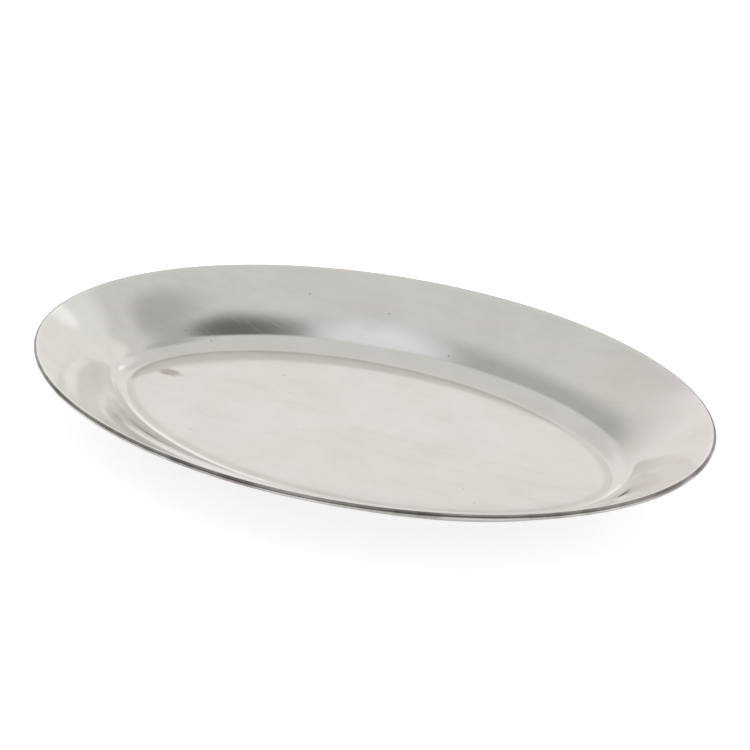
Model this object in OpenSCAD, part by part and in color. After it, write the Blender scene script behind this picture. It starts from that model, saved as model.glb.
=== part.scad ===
// Oval serving tray. One pressed sheet: flat oval well, rising wall and plain
// sloping rim, with the sheet's edge rolled outwards and under around a wire.
// Millimetres. Origin at the centre of the flat bottom, +X along the tray's
// length, +Y across it, +Z up.
//
// The oval is drawn as eight arcs of three radii that meet tangentially. Every
// line of the section (well edge, wall, rim, rolled edge) runs parallel to the
// outer edge, so all surfaces are true flats, cones and ring surfaces.

/* [Overall size] */
// Length over the rolled edge
overall_length = 406; // [350:1:450]
// Width over the rolled edge
overall_width = 249; // [215:1:275]
// Height from the flat bottom to the top of the rolled edge
overall_height = 37.1; // [30:0.1:44]

/* [Oval plan] */
// Radius of the end arcs, at the centre of the rolled edge
end_radius = 82.5; // [76:0.5:95]
// Direction where an end arc meets a corner arc, from the long axis
corner_start_deg = 22; // [14:1:30]
// Direction where a corner arc meets a side arc, from the long axis
corner_end_deg = 52; // [42:1:62]

/* [Sheet] */
// Thickness of the sheet
sheet = 0.8; // [0.6:0.05:1.2]

/* [Section] */
// Distance from the well's edge out to the centre of the rolled edge
rim_width = 50.6; // [46:0.2:58]
// Slope of the wall where it leaves the well's crease
crease_deg = 3; // [2:0.5:8]
// Radius of the hollow curve from the well into the wall, on the inner face
well_radius = 18.5; // [10:0.5:30]
// Steepest slope of the wall
wall_deg = 47; // [42:0.5:48]
// Slope of the rim at the rolled edge
rim_deg = 31; // [26:0.5:32]
// Length of the straight part of the rim, next to the rolled edge
rim_straight = 4; // [1:0.5:8]

/* [Rolled edge] */
// Outside diameter of the rolled edge
bead_diameter = 3.3; // [2.8:0.1:4]
// Clearance all round between the roll and the wire inside it
wire_gap = 0.05; // [0.02:0.01:0.1]
// Slit left between the edge of the sheet and the underside of the rim
curl_slit = 0.4; // [0.2:0.05:0.6]

/* [Hidden] */
$fn = 96;

plate_grey = [0.80, 0.79, 0.77];
wire_grey = [0.55, 0.55, 0.56];

// plan of the oval, at the centre of the rolled edge
bead_r = bead_diameter / 2;
bore_r = bead_r - sheet;
half_l = overall_length / 2 - bead_r;
half_w = overall_width / 2 - bead_r;
bead_z = overall_height - bead_r;
t1 = corner_start_deg;
t2 = corner_end_deg;

// the two other radii follow from the length, the width and tangency
m11 = cos(t2) - cos(t1);
m12 = -cos(t2);
m21 = sin(t2) - sin(t1);
m22 = 1 - sin(t2);
v1 = -(half_l - end_radius + end_radius * cos(t1));
v2 = half_w - end_radius * sin(t1);
det = m11 * m22 - m12 * m21;
corner_radius = (v1 * m22 - m12 * v2) / det;
side_radius = (m11 * v2 - m21 * v1) / det;
end_x = half_l - end_radius;
corner_x = end_x + (end_radius - corner_radius) * cos(t1);
corner_y = (end_radius - corner_radius) * sin(t1);
side_y = half_w - side_radius;

// the eight arcs: centre x, centre y, radius, from, to (degrees)
arcs = [
    [end_x, 0, end_radius, -t1, t1],
    [corner_x, corner_y, corner_radius, t1, t2],
    [0, side_y, side_radius, t2, 180 - t2],
    [-corner_x, corner_y, corner_radius, 180 - t2, 180 - t1],
    [-end_x, 0, end_radius, 180 - t1, 180 + t1],
    [-corner_x, -corner_y, corner_radius, 180 + t1, 180 + t2],
    [0, -side_y, side_radius, 180 + t2, 360 - t2],
    [corner_x, -corner_y, corner_radius, 360 - t2, 360 - t1]
];

// section: u runs outwards from the well's edge, z up, along the inner face.
// Hollow curve: centre and end point.
well_u = -well_radius * sin(crease_deg);
well_z = sheet + well_radius * cos(crease_deg);
wall_u = well_u + well_radius * sin(wall_deg);
wall_z = well_z - well_radius * cos(wall_deg);
// Rim: the inner face runs tangent onto the top of the roll.
tip_u = rim_width - bead_r * sin(rim_deg);
tip_z = bead_z + bead_r * cos(rim_deg);
rim_u = tip_u - rim_straight * cos(rim_deg);
rim_z = tip_z - rim_straight * sin(rim_deg);
// Between them a straight wall and an outward bow, tangent to wall and rim.
k_u = sin(wall_deg) - sin(rim_deg);
k_z = cos(rim_deg) - cos(wall_deg);
gap_u = rim_u - wall_u;
gap_z = rim_z - wall_z;
bow_det = k_u * sin(wall_deg) - k_z * cos(wall_deg);
bow_radius = (gap_u * sin(wall_deg) - gap_z * cos(wall_deg)) / bow_det;
wall_len = (k_u * gap_z - k_z * gap_u) / bow_det;
bow_u = wall_u + wall_len * cos(wall_deg) + bow_radius * sin(wall_deg);
bow_z = wall_z + wall_len * sin(wall_deg) - bow_radius * cos(wall_deg);
// The roll ends where its outside would touch the underside of the rim, less
// the slit.
curl_end = 90 + rim_deg + acos(bore_r / bead_r) - 360 + curl_slit / bead_r * 180 / PI;
// length of the short straight piece where the wire's bend changes
bend_length = 1.6;
// width of the flat strip that joins the section to the floor plate
lap = 4;

// part of a ring between two radii and two directions, less than 120 degrees
module ring_piece(r_in, r_out, a0, a1) {
    am = (a0 + a1) / 2;
    far = r_out * 1.5;
    intersection() {
        difference() {
            circle(r = r_out);
            circle(r = r_in);
        }
        polygon([
            [0, 0],
            [far * cos(a0), far * sin(a0)],
            [far * cos(am), far * sin(am)],
            [far * cos(a1), far * sin(a1)]
        ]);
    }
}

// straight strip of sheet whose inner face starts at (u, z)
module strip(u, z, len, deg) {
    translate([u, z])
        rotate(deg)
            translate([0, -sheet])
                square([len, sheet]);
}

// the sheet's edge rolled outwards and under
module roll_section() {
    span = (90 + rim_deg - curl_end) / 3;
    translate([rim_width, bead_z]) {
        ring_piece(bore_r, bead_r, curl_end, curl_end + span);
        ring_piece(bore_r, bead_r, curl_end + span, curl_end + 2 * span);
        ring_piece(bore_r, bead_r, curl_end + 2 * span, 90 + rim_deg);
    }
}

// floor strip and hollow curve, cut off level at the flat bottom
module foot_section() {
    intersection() {
        union() {
            translate([-lap, 0])
                square([lap, sheet]);
            translate([well_u, well_z])
                ring_piece(well_radius, well_radius + sheet, -88, -90 + wall_deg);
        }
        translate([-lap, 0])
            square([lap + rim_width, overall_height]);
    }
}

// whole section of the sheet outside the well
module sheet_section() {
    foot_section();
    strip(wall_u, wall_z, wall_len, wall_deg);
    translate([bow_u, bow_z])
        ring_piece(bow_radius - sheet, bow_radius, 90 + rim_deg, 90 + wall_deg);
    strip(rim_u, rim_z, rim_straight, rim_deg);
    roll_section();
}

// a section carried once round the oval, arc by arc
module around_oval() {
    for (a = arcs)
        translate([a[0], a[1], 0])
            rotate([0, 0, a[3]])
                rotate_extrude(angle = a[4] - a[3])
                    translate([a[2] - rim_width, 0])
                        children();
}

// outline of the flat floor: a polygon through the arcs' ends, and on each of
// its sides the slice of circle that the arc cuts off
module floor_outline() {
    inset = rim_width + lap;
    polygon([
        for (a = arcs)
            [
                a[0] + (a[2] - inset) * cos(a[3]),
                a[1] + (a[2] - inset) * sin(a[3])
            ]
    ]);
    for (a = arcs) {
        r = a[2] - inset;
        am = (a[3] + a[4]) / 2;
        h = r * (1 - cos((a[4] - a[3]) / 2)) * 1.5;
        x0 = a[0] + r * cos(a[3]);
        y0 = a[1] + r * sin(a[3]);
        x1 = a[0] + r * cos(a[4]);
        y1 = a[1] + r * sin(a[4]);
        intersection() {
            translate([a[0], a[1]])
                circle(r = r);
            polygon([
                [x0, y0],
                [x0 + h * cos(am), y0 + h * sin(am)],
                [x1 + h * cos(am), y1 + h * sin(am)],
                [x1, y1]
            ]);
        }
    }
}

// the pressed sheet: floor, wall, rim and rolled edge
module tray_body() {
    color(plate_grey) {
        linear_extrude(height = sheet)
            floor_outline();
        around_oval()
            sheet_section();
    }
}

// the stiffening wire that the edge is rolled around: one closed ring, bent
// arc by arc, with a short and hardly thicker length where each bend begins
module rim_wire() {
    r = bore_r - wire_gap;
    color(wire_grey)
        for (a = arcs) {
            trim = bend_length / 4 / a[2] * 180 / PI;
            translate([a[0], a[1], bead_z]) {
                rotate([0, 0, a[3] + trim])
                    rotate_extrude(angle = a[4] - a[3] - 2 * trim)
                        translate([a[2], 0])
                            circle(r = r);
                rotate([0, 0, a[3]])
                    translate([a[2], 0, 0])
                        rotate([90, 0, 0])
                            cylinder(r = r + wire_gap / 2, h = bend_length, center = true);
            }
        }
}

tray_body();
rim_wire();
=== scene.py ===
import math

import bpy
import numpy as np
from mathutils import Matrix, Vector


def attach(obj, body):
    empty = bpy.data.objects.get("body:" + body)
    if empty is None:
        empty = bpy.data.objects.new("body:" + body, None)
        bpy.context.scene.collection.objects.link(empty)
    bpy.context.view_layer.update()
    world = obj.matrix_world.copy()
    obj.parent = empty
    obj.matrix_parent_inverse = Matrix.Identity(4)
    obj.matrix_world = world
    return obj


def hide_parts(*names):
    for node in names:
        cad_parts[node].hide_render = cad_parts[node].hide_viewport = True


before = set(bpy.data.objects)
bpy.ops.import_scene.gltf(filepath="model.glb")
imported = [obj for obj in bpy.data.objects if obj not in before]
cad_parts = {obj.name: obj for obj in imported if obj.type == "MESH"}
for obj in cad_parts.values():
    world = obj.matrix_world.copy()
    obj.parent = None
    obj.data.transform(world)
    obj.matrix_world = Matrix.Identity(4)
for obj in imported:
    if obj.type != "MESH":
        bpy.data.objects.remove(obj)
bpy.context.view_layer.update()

# ---------------------------------------------------------------- sizes, metres
LENGTH, WIDTH, HEIGHT = 0.4060, 0.2490, 0.0371
BEAD_R = 0.00165
SHEET = 0.0008
HALF_L = LENGTH / 2 - BEAD_R
HALF_W = WIDTH / 2 - BEAD_R
BEAD_Z = HEIGHT - BEAD_R
RIM = 0.0506
CREASE, WALL, SLOPE = (math.radians(v) for v in (3.0, 47.0, 31.0))
WELL_R = 0.0185
RIM_STRAIGHT = 0.004
CROWN = 0.00024
INSET = 0.00002  # the looks stay this far inside the CAD solid
RING = 0.012  # outer ring of the floor that falls by CROWN
LEAD = 0.0005  # how far inside the well's edge the crease begins
SLIT_ANGLE = 0.24  # radians left open between the roll's end and the sheet
WIRE_R = 0.00078


def section():
    """Closed section of the sheet: rows of (u, z, nu, nz), with u outwards from the well's edge.

    Inner face first. The floor is crowned and falls over its outer ring. Then come the hollow arc
    (u, z) = C + R (sin s, -cos s), for slope s from the crease to the wall, the straight wall, the
    outward bow (u, z) = B + Rb (-sin s, cos s), with s falling to the rim's slope, and the straight
    rim, tangent to the roll (u, z) = K + r (cos p, sin p). Then the same lines back, one sheet lower.
    """
    cu, cz = -WELL_R * math.sin(CREASE), SHEET + WELL_R * math.cos(CREASE)
    wu, wz = cu + WELL_R * math.sin(WALL), cz - WELL_R * math.cos(WALL)
    tu, tz = RIM - BEAD_R * math.sin(SLOPE), BEAD_Z + BEAD_R * math.cos(SLOPE)
    ru, rz = tu - RIM_STRAIGHT * math.cos(SLOPE), tz - RIM_STRAIGHT * math.sin(SLOPE)
    ku, kz = math.sin(WALL) - math.sin(SLOPE), math.cos(SLOPE) - math.cos(WALL)
    gu, gz = ru - wu, rz - wz
    det = ku * math.sin(WALL) - kz * math.cos(WALL)
    bow = (gu * math.sin(WALL) - gz * math.cos(WALL)) / det
    run = (ku * gz - kz * gu) / det
    bu = wu + run * math.cos(WALL) + bow * math.sin(WALL)
    bz = wz + run * math.sin(WALL) - bow * math.cos(WALL)
    # inner face as (u, z, slope)
    s1 = np.linspace(CREASE, WALL, 34)
    s2 = np.linspace(WALL, SLOPE, 26)
    hollow = np.c_[cu + WELL_R * np.sin(s1), cz - WELL_R * np.cos(s1), s1]
    bowed = np.c_[bu - bow * np.sin(s2), bz + bow * np.cos(s2), s2]
    k = np.linspace(0, 1, 5)[1:]
    straight = np.c_[ru + (tu - ru) * k, rz + (tz - rz) * k, np.full(4, SLOPE)]
    # floor: very slightly crowned, falling CROWN over its outer ring, then the crease
    fall = -2 * CROWN / RING
    q = np.linspace(0, 1, 13)
    ring = np.c_[-0.013 + RING * q, SHEET + CROWN * (1 - q**2), fall * q]
    q = np.linspace(0, 1, 6)[:-1]
    lead = np.c_[-LEAD + LEAD * q, SHEET + 0 * q, CREASE * q**2]
    face = np.r_[ring, lead, hollow, bowed, straight]
    u, z, s = face.T
    top = np.c_[u, z, -np.sin(s), np.cos(s)]
    # roll, from the tangent point over the outside and under, to the slit
    end = math.pi / 2 + SLOPE + math.acos((BEAD_R - SHEET) / BEAD_R) - 2 * math.pi + SLIT_ANGLE
    p = np.linspace(math.pi / 2 + SLOPE, end, 44)[1:]
    roll = np.c_[RIM + BEAD_R * np.cos(p), BEAD_Z + BEAD_R * np.sin(p), np.cos(p), np.sin(p)]
    bore = BEAD_R - SHEET
    edge = np.c_[
        RIM + np.array([BEAD_R - 1e-5, bore + 1e-5]) * math.cos(end),
        BEAD_Z + np.array([BEAD_R - 1e-5, bore + 1e-5]) * math.sin(end),
        np.full(2, math.sin(end)),
        np.full(2, -math.cos(end)),
    ]
    p = np.linspace(end, math.pi / 2 + SLOPE, 30)
    inside = np.c_[RIM + bore * np.cos(p), BEAD_Z + bore * np.sin(p), -np.cos(p), -np.sin(p)]
    keep = s > CREASE + 1e-6
    base = ring[::-1, 1] - SHEET
    ub, zb, sb = u[keep][::-1], z[keep][::-1], s[keep][::-1]
    under = np.c_[ub + SHEET * np.sin(sb), zb - SHEET * np.cos(sb), np.sin(sb), -np.cos(sb)]
    under[:, 1] = np.maximum(under[:, 1], 0)
    foot = np.c_[ring[::-1, 0], base, np.sin(ring[::-1, 2]), -np.cos(ring[::-1, 2])]
    return np.r_[top, roll, edge, inside, under, foot]


def stations(count):
    """Angles round the oval, spaced evenly in half arc length, half turning angle."""
    t = np.linspace(0, 2 * np.pi, 20001)
    speed = np.hypot(HALF_L * np.sin(t), HALF_W * np.cos(t))
    turn = HALF_L * HALF_W / speed**2
    w = speed / speed.mean() + turn / turn.mean()
    c = np.r_[0, np.cumsum((w[1:] + w[:-1]) / 2)]
    return np.interp(np.linspace(0, c[-1], count, endpoint=False), c, t)


def oval(t, out):
    """Curve parallel to the ellipse (a cos t, b sin t) at distance out, and its outward normal.

    n = (cos t / a, sin t / b) scaled to length 1;  P = (a cos t, b sin t) + out n.
    """
    n = np.c_[np.cos(t) / HALF_L, np.sin(t) / HALF_W]
    n /= np.linalg.norm(n, axis=1)[:, None]
    return np.c_[HALF_L * np.cos(t), HALF_W * np.sin(t)] + out * n, n


def tray_skin(name, around=400):
    """The whole sheet as one closed surface.

    S(i, j) = the curve parallel to the oval at the section's u_j, at height z_j.

    Inside the well's edge both faces run flat to the centre as shrinking copies of the innermost curve,
    P = k P0, k = 0.8 .. 0.2, closed by one point. Normals come from the same formulas.
    """
    t = stations(around)
    sec = section()
    rings, normals = [], []
    shrink = [0.2, 0.4, 0.6, 0.8]
    p0, n = oval(t, sec[0, 0] - RIM)
    flat = np.zeros((around, 3))
    for k in shrink:
        rings.append(np.c_[p0 * k, np.full(around, SHEET + CROWN)])
        normals.append(flat + [0, 0, 1])
    for u, z, nu, nz in sec:
        p, n = oval(t, u - RIM - INSET)
        rings.append(np.c_[p, np.full(around, z)])
        normals.append(np.c_[n * nu, np.full(around, nz)])
    for k in shrink[::-1]:
        rings.append(np.c_[p0 * k, np.full(around, CROWN)])
        normals.append(flat + [0, 0, -1])
    m = len(rings)
    verts = np.r_[np.concatenate(rings), [[0, 0, SHEET + CROWN], [0, 0, CROWN]]]
    norm = np.r_[np.concatenate(normals), [[0, 0, 1], [0, 0, -1]]]
    i = np.arange(around)
    nxt = (i + 1) % around
    j = np.arange(m - 1)[:, None] * around
    quads = np.stack([j + i, j + around + i, j + around + nxt, j + nxt], axis=-1).reshape(-1, 4)
    last = (m - 1) * around
    caps = np.r_[
        np.c_[np.full(around, m * around), i, nxt],
        np.c_[np.full(around, m * around + 1), last + nxt, last + i],
    ]
    mesh = bpy.data.meshes.new(name)
    mesh.from_pydata(verts.tolist(), [], quads.tolist() + caps.tolist())
    mesh.shade_smooth()
    norm /= np.linalg.norm(norm, axis=1)[:, None]
    mesh.normals_split_custom_set_from_vertices(norm.tolist())
    mesh.validate()
    obj = bpy.data.objects.new(name, mesh)
    bpy.context.scene.collection.objects.link(obj)
    return obj


def edge_wire(name, radius, around=360, sides=16):
    """Stiffening wire inside the roll, a closed ring.

    W(t, p) = centre line of the roll + radius (n cos p + up sin p).
    """
    t = stations(around)
    p = np.linspace(0, 2 * np.pi, sides, endpoint=False)
    centre, n = oval(t, 0.0)
    cosp, sinp = np.cos(p)[None, :, None], np.sin(p)[None, :]
    flat = np.c_[n, np.zeros(around)][:, None, :] * cosp
    none = np.zeros((around, sides))
    out = flat + np.dstack([none, none, np.repeat(sinp, around, 0)])
    base = np.c_[centre, np.full(around, BEAD_Z)][:, None, :]
    verts = (base + radius * out).reshape(-1, 3)
    i, j = np.meshgrid(np.arange(around), np.arange(sides), indexing="ij")
    i2, j2 = (i + 1) % around, (j + 1) % sides
    quads = np.stack([i * sides + j, i2 * sides + j, i2 * sides + j2, i * sides + j2], -1).reshape(-1, 4)
    mesh = bpy.data.meshes.new(name)
    mesh.from_pydata(verts.tolist(), [], quads.tolist())
    mesh.shade_smooth()
    mesh.validate()
    obj = bpy.data.objects.new(name, mesh)
    bpy.context.scene.collection.objects.link(obj)
    return obj


# ---------------------------------------------------------------- materials
def group(name, inputs, outputs):
    """Empty node group with named sockets: (name, type, default)."""
    g = bpy.data.node_groups.new(name, "ShaderNodeTree")
    for label, kind, value in inputs:
        s = g.interface.new_socket(name=label, in_out="INPUT", socket_type=kind)
        if value is not None:
            s.default_value = value
    for label, kind in outputs:
        g.interface.new_socket(name=label, in_out="OUTPUT", socket_type=kind)
    a = g.nodes.new("NodeGroupInput")
    b = g.nodes.new("NodeGroupOutput")
    return g, a, b


def math_node(tree, op, a, b=None, clamp=False):
    """One maths node; a and b are sockets or numbers."""
    n = tree.nodes.new("ShaderNodeMath")
    n.operation = op
    n.use_clamp = clamp
    for k, v in enumerate((a, b)):
        if v is None:
            continue
        if isinstance(v, (int, float)):
            n.inputs[k].default_value = v
        else:
            tree.links.new(v, n.inputs[k])
    return n.outputs[0]


def blend(tree, base, colour, factor):
    """Mix a colour (tuple) over base (tuple or socket) by the factor socket."""
    m = tree.nodes.new("ShaderNodeMix")
    m.data_type = "RGBA"
    if isinstance(base, tuple):
        m.inputs["A"].default_value = base
    else:
        tree.links.new(base, m.inputs["A"])
    m.inputs["B"].default_value = colour
    tree.links.new(factor, m.inputs["Factor"])
    return m.outputs["Result"]


def span(tree, value, lo, hi, out_lo=0.0, out_hi=1.0):
    """Smooth step of value from lo..hi to out_lo..out_hi."""
    n = tree.nodes.new("ShaderNodeMapRange")
    n.interpolation_type = "SMOOTHSTEP"
    tree.links.new(value, n.inputs["Value"])
    n.inputs["From Min"].default_value = lo
    n.inputs["From Max"].default_value = hi
    n.inputs["To Min"].default_value = out_lo
    n.inputs["To Max"].default_value = out_hi
    return n.outputs["Result"]


def noise(tree, vector, scale, detail=2.0, rough=0.5, stretch=None, turn=0.0):
    """Noise in object coordinates, optionally stretched and turned about Z."""
    if stretch is not None:
        m = tree.nodes.new("ShaderNodeMapping")
        m.inputs["Rotation"].default_value = (0, 0, math.radians(turn))
        m.inputs["Scale"].default_value = stretch
        tree.links.new(vector, m.inputs["Vector"])
        vector = m.outputs["Vector"]
    n = tree.nodes.new("ShaderNodeTexNoise")
    n.inputs["Scale"].default_value = scale
    n.inputs["Detail"].default_value = detail
    n.inputs["Roughness"].default_value = rough
    tree.links.new(vector, n.inputs["Vector"])
    return n.outputs["Fac"]


def hairlines_group():
    """Fine service scratches: three stretched noises, thinned to lines, each in its own direction."""
    g, a, b = group(
        "hairlines",
        [("Vector", "NodeSocketVector", None), ("Amount", "NodeSocketFloat", 1.0)],
        [("Mask", "NodeSocketFloat")],
    )
    total = None
    for turn, scale, across in ((12, 36, 26), (74, 30, 22), (-38, 44, 30)):
        f = noise(g, a.outputs["Vector"], scale, 1.0, 0.4, (1, across, 1), turn)
        line = span(g, f, 0.67, 0.72)
        patch = span(g, noise(g, a.outputs["Vector"], 21 + scale / 9), 0.48, 0.66)
        one = math_node(g, "MULTIPLY", line, patch)
        total = one if total is None else math_node(g, "MAXIMUM", total, one)
    out = math_node(g, "MULTIPLY", total, a.outputs["Amount"])
    g.links.new(out, b.inputs["Mask"])
    return g


def sheet_wave_group():
    """Slow unevenness left by pressing and handling, as a height in metres."""
    g, a, b = group(
        "sheet_wave",
        [("Vector", "NodeSocketVector", None)],
        [("Height", "NodeSocketFloat")],
    )
    big = noise(g, a.outputs["Vector"], 11, 1.0, 0.4)
    mid = noise(g, a.outputs["Vector"], 34, 1.0, 0.4)
    h = math_node(g, "ADD", math_node(g, "MULTIPLY", big, 1.0), math_node(g, "MULTIPLY", mid, 0.16))
    g.links.new(h, b.inputs["Height"])
    return g


def outer_roll_group():
    """Mask of the rolled edge's outer side: high up, with the normal leaning away from the middle. It
    carries the roll's painted dark reflection as well as extra roughness.
    """
    g, a, b = group("outer_roll", [("Vector", "NodeSocketVector", None)], [("Mask", "NodeSocketFloat")])
    geo = g.nodes.new("ShaderNodeNewGeometry")
    n = g.nodes.new("ShaderNodeSeparateXYZ")
    p = g.nodes.new("ShaderNodeSeparateXYZ")
    g.links.new(geo.outputs["Normal"], n.inputs[0])
    g.links.new(a.outputs["Vector"], p.inputs[0])
    ox = math_node(g, "MULTIPLY", p.outputs["X"], 1 / HALF_L**2)
    oy = math_node(g, "MULTIPLY", p.outputs["Y"], 1 / HALF_W**2)
    ox = math_node(g, "MULTIPLY", ox, n.outputs["X"])
    oy = math_node(g, "MULTIPLY", oy, n.outputs["Y"])
    out = math_node(g, "ADD", ox, oy)
    high = span(g, p.outputs["Z"], BEAD_Z - BEAD_R - 0.0004, BEAD_Z - BEAD_R + 0.0001)
    g.links.new(math_node(g, "MULTIPLY", span(g, out, -0.6, 0.8), high), b.inputs["Mask"])
    return g


def use(tree, g, **links):
    n = tree.nodes.new("ShaderNodeGroup")
    n.node_tree = g
    for k, v in links.items():
        if isinstance(v, (int, float)):
            n.inputs[k].default_value = v
        else:
            tree.links.new(v, n.inputs[k])
    return n


def polished_plate():
    """Warm silvery plate: soft mirror, faint mottling, hairlines, specks, tarnish in the crease; painted
    light too: a dark painted reflection on the roll's outer side, painted shade where the surface faces
    down, a faint painted highlight along the rim's top.
    """
    m = bpy.data.materials.new("polished_plate")
    m.use_nodes = True
    t = m.node_tree
    bsdf = t.nodes["Principled BSDF"]
    co = t.nodes.new("ShaderNodeTexCoord").outputs["Object"]
    sep = t.nodes.new("ShaderNodeSeparateXYZ")
    t.links.new(co, sep.inputs[0])
    z = sep.outputs["Z"]
    hair = use(t, hairlines_group(), Vector=co, Amount=1.0).outputs["Mask"]
    # small dull mark on the well's floor: a soft spot about 18 by 9 mm, ragged by noise
    mx = math_node(t, "MULTIPLY", math_node(t, "ADD", sep.outputs["X"], 0.1305), 1 / 0.009)
    my = math_node(t, "MULTIPLY", math_node(t, "ADD", sep.outputs["Y"], -0.0066), 1 / 0.0045)
    far = math_node(t, "ADD", math_node(t, "MULTIPLY", mx, mx), math_node(t, "MULTIPLY", my, my))
    far = math_node(t, "ADD", far, noise(t, co, 260, 3.0, 0.6))
    mark = span(t, far, 1.7, 0.6, 0.0, 0.8)
    streak = noise(t, co, 120, 3.0, 0.6, (0.25, 1, 1))
    wave = use(t, sheet_wave_group(), Vector=co).outputs["Height"]
    cloud = noise(t, co, 14, 4.0, 0.55)
    grain = noise(t, co, 900, 2.0, 0.6)
    speck = span(t, noise(t, co, 300, 1.0, 0.5), 0.79, 0.83)
    edge = span(t, z, HEIGHT - 0.0016, HEIGHT - 0.0002)
    # silver, a little yellower in cloudy patches, browner in specks, and paler along the top of the rim
    # as a painted highlight
    clouded = span(t, cloud, 0.35, 0.75)
    c = blend(t, (0.895, 0.885, 0.870, 1), (0.885, 0.868, 0.835, 1), clouded)
    spots = math_node(t, "MAXIMUM", math_node(t, "MULTIPLY", speck, 0.6), mark)
    spots = math_node(t, "ADD", spots, span(t, streak, 0.42, 0.75, 0.0, 0.07))
    spots = math_node(t, "ADD", spots, span(t, noise(t, co, 26, 3.0, 0.55), 0.35, 0.7, 0.0, 0.07))
    # tarnish gathers in the crease round the well: lowest 0.15 mm of the inner face
    tarnish = span(t, z, SHEET + 0.00015, SHEET + 0.00002, 0.0, 0.30)
    uneven = span(t, noise(t, co, 34, 3.0, 0.6), 0.25, 0.7, 0.55, 1.0)
    tarnish = math_node(t, "MULTIPLY", tarnish, uneven)
    spots = math_node(t, "ADD", spots, tarnish, clamp=True)
    c = blend(t, c, (0.46, 0.42, 0.38, 1), spots)
    # painted highlight: the top 1.6 mm of the rim made slightly paler
    c = blend(t, c, (0.93, 0.92, 0.90, 1), math_node(t, "MULTIPLY", edge, 0.5))
    # painted dark reflection on the outer side of the rolled edge, standing in for the dim surroundings
    # and shadowed floor it faces; patchy in strength
    roll = use(t, outer_roll_group(), Vector=co).outputs["Mask"]
    painted_dark_strength = span(t, noise(t, co, 45, 3.0, 0.6), 0.3, 0.7, 0.95, 0.6)
    c = blend(t, c, (0.16, 0.145, 0.135, 1), math_node(t, "MULTIPLY", roll, painted_dark_strength))
    # the outside is left unpolished and rougher wherever the surface faces down; its colour there is
    # painted darker grey as painted shade
    face = t.nodes.new("ShaderNodeNewGeometry")
    facing = t.nodes.new("ShaderNodeSeparateXYZ")
    t.links.new(face.outputs["Normal"], facing.inputs[0])
    under = span(t, facing.outputs["Z"], -0.05, -0.45)
    low = span(t, z, BEAD_Z + 0.0004, BEAD_Z - BEAD_R, 0.0, 1.0)
    painted_underside_shade = math_node(t, "MULTIPLY", under, math_node(t, "MULTIPLY", low, 0.95))
    # painted shade: the downward-facing outside below the roll painted dark grey
    c = blend(t, c, (0.43, 0.42, 0.41, 1), painted_underside_shade)
    t.links.new(c, bsdf.inputs["Base Color"])
    bsdf.inputs["Metallic"].default_value = 1.0
    r = span(t, cloud, 0.3, 0.75, 0.075, 0.120)
    r = math_node(t, "ADD", r, math_node(t, "MULTIPLY", under, 0.22))
    r = math_node(t, "ADD", r, math_node(t, "MULTIPLY", roll, 0.12))
    r = math_node(t, "ADD", r, math_node(t, "MULTIPLY", hair, 0.09))
    r = math_node(t, "ADD", r, math_node(t, "MULTIPLY", grain, 0.03))
    r = math_node(t, "ADD", r, math_node(t, "MULTIPLY", speck, 0.25))
    t.links.new(r, bsdf.inputs["Roughness"])
    b1 = t.nodes.new("ShaderNodeBump")
    b1.inputs["Strength"].default_value = 1.0
    b1.inputs["Distance"].default_value = 0.00045
    t.links.new(wave, b1.inputs["Height"])
    b2 = t.nodes.new("ShaderNodeBump")
    b2.inputs["Strength"].default_value = 0.12
    b2.inputs["Distance"].default_value = 0.00002
    t.links.new(math_node(t, "SUBTRACT", grain, hair), b2.inputs["Height"])
    t.links.new(b1.outputs["Normal"], b2.inputs["Normal"])
    t.links.new(b2.outputs["Normal"], bsdf.inputs["Normal"])
    return m


def drawn_wire():
    """Unpolished drawn steel wire: grey, a fine grainy bump, a bloom of rust."""
    m = bpy.data.materials.new("edge_wire")
    m.use_nodes = True
    t = m.node_tree
    bsdf = t.nodes["Principled BSDF"]
    co = t.nodes.new("ShaderNodeTexCoord").outputs["Object"]
    cloud = noise(t, co, 60, 4.0, 0.6)
    rust = span(t, cloud, 0.55, 0.8)
    c = blend(t, (0.50, 0.50, 0.51, 1), (0.34, 0.24, 0.17, 1), rust)
    t.links.new(c, bsdf.inputs["Base Color"])
    bsdf.inputs["Metallic"].default_value = 1.0
    t.links.new(span(t, cloud, 0.3, 0.8, 0.35, 0.7), bsdf.inputs["Roughness"])
    bump = t.nodes.new("ShaderNodeBump")
    bump.inputs["Strength"].default_value = 0.3
    bump.inputs["Distance"].default_value = 0.00003
    t.links.new(noise(t, co, 1400, 2.0), bump.inputs["Height"])
    t.links.new(bump.outputs["Normal"], bsdf.inputs["Normal"])
    return m


# ---------------------------------------------------------------- the tray
tray = tray_skin("tray_sheet")
tray.data.materials.append(polished_plate())
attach(tray, "root")
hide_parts("tray_body")

wire = edge_wire("stiffening_wire", WIRE_R)
wire.data.materials.append(drawn_wire())
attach(wire, "root")
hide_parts("rim_wire")

# ---------------------------------------------------------------- floor, light, camera
bpy.ops.mesh.primitive_plane_add(size=7, location=(0, 0, -0.00002))
floor = bpy.context.object
floor.name = "floor"
fm = bpy.data.materials.new("pale_floor")
fm.use_nodes = True
fb = fm.node_tree.nodes["Principled BSDF"]
fb.inputs["Base Color"].default_value = (0.92, 0.92, 0.92, 1)
fb.inputs["Emission Color"].default_value = (1, 1, 1, 1)
fb.inputs["Emission Strength"].default_value = 0.62
fb.inputs["Roughness"].default_value = 0.9
fb.inputs["Specular IOR Level"].default_value = 0.1
floor.data.materials.append(fm)


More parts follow.
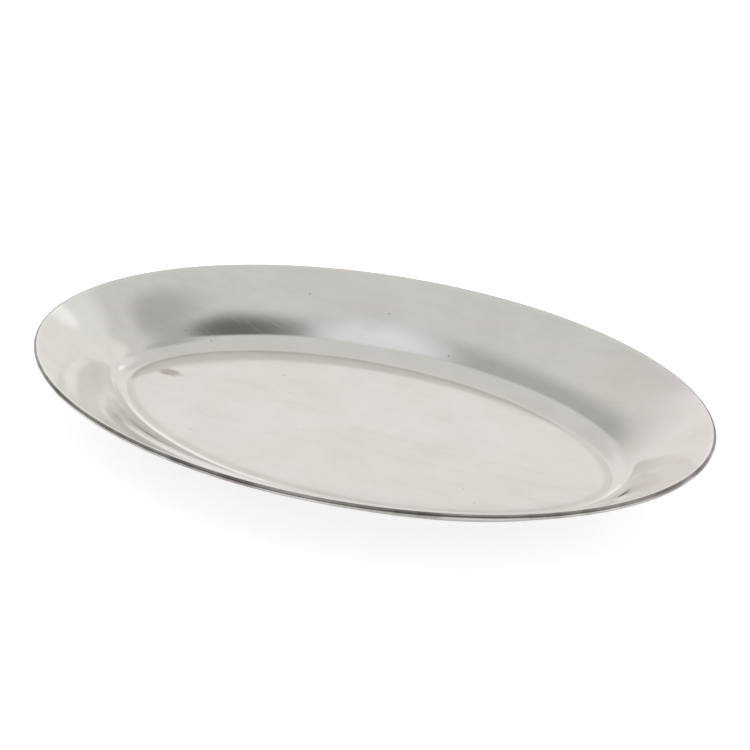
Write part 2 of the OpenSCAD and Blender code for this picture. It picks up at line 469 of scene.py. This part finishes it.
def room(world):
    """Pale studio all round: warm light walls, greyer overhead, dim on the camera's side."""
    world.use_nodes = True
    t = world.node_tree
    bg = t.nodes["Background"]
    co = t.nodes.new("ShaderNodeTexCoord").outputs["Generated"]
    sep = t.nodes.new("ShaderNodeSeparateXYZ")
    t.links.new(co, sep.inputs[0])
    x, y, z = sep.outputs

    def toward(az, el, wide, soft):
        """1 near a direction (azimuth from +Y towards -X), falling to 0 between wide -/+ soft degrees."""
        a, e = math.radians(az + 90), math.radians(el)
        d = (math.cos(a) * math.cos(e), math.sin(a) * math.cos(e), math.sin(e))
        s = math_node(t, "MULTIPLY", x, d[0])
        s = math_node(t, "ADD", s, math_node(t, "MULTIPLY", y, d[1]))
        s = math_node(t, "ADD", s, math_node(t, "MULTIPLY", z, d[2]))
        outer = math.cos(math.radians(wide + soft))
        inner = math.cos(math.radians(max(wide - soft, 0)))
        return span(t, s, outer, inner)

    c = blend(t, (0.83, 0.795, 0.775, 1), (0.645, 0.635, 0.622, 1), span(t, z, 0.585, 0.70))
    c = blend(t, c, (0.66, 0.645, 0.62, 1), toward(95, 26, 24, 16))
    # the side the camera stands on is dimmer, up to an arc that rises to 65 degrees behind it
    arc = toward(25, 67, 49, 5)
    behind = math_node(t, "ADD", math_node(t, "MULTIPLY", x, -0.17), math_node(t, "MULTIPLY", y, -0.98))
    dim = math_node(t, "MULTIPLY", math_node(t, "SUBTRACT", 1.0, arc), span(t, behind, -0.12, 0.2))
    c = blend(t, c, (0.43, 0.425, 0.41, 1), dim)
    c = blend(t, c, (0.76, 0.77, 0.79, 1), toward(157, 50, 9.5, 5))
    c = blend(t, c, (0.14, 0.137, 0.133, 1), toward(203, 48, 15, 7))
    low_dark = math_node(t, "MULTIPLY", span(t, z, 0.5, 0.3), span(t, behind, -0.1, 0.4))
    c = blend(t, c, (0.28, 0.275, 0.27, 1), low_dark)
    c = blend(t, c, (0.45, 0.44, 0.43, 1), toward(262, 66, 10, 9))
    c = blend(t, c, (0.77, 0.775, 0.755, 1), toward(341, 42, 15, 7))
    # two white panels on the far side
    c = blend(t, c, (0.97, 0.97, 0.96, 1), toward(28, 17, 6, 2))
    c = blend(t, c, (1.0, 1.0, 1.0, 1), toward(352, 38, 5, 2))
    c = blend(t, c, (0.90, 0.90, 0.90, 1), span(t, z, 0.0, -0.02))
    t.links.new(c, bg.inputs["Color"])
    bg.inputs["Strength"].default_value = 1.0


world = bpy.data.worlds.new("studio")
bpy.context.scene.world = world
room(world)

bpy.ops.object.light_add(type="AREA", location=(0.1, 0.45, 1.5))
lamp = bpy.context.object
lamp.name = "soft_overhead"
lamp.data.shape = "DISK"
lamp.data.size = 1.6
lamp.data.energy = 14
lamp.visible_glossy = False
lamp.visible_camera = False

target = Vector((-0.01522, 0.05842, 0.0))
eye = Vector((0.2966, -0.6155, 0.4254))
cam = bpy.data.cameras.new("camera")
cam.sensor_width = 36
cam.lens = 66.65
cam.clip_start = 0.01
camera = bpy.data.objects.new("camera", cam)
camera.location = eye
camera.rotation_euler = (eye - target).to_track_quat("Z", "Y").to_euler()
bpy.context.scene.collection.objects.link(camera)
bpy.context.scene.camera = camera
bpy.context.scene.view_settings.view_transform = "Standard"

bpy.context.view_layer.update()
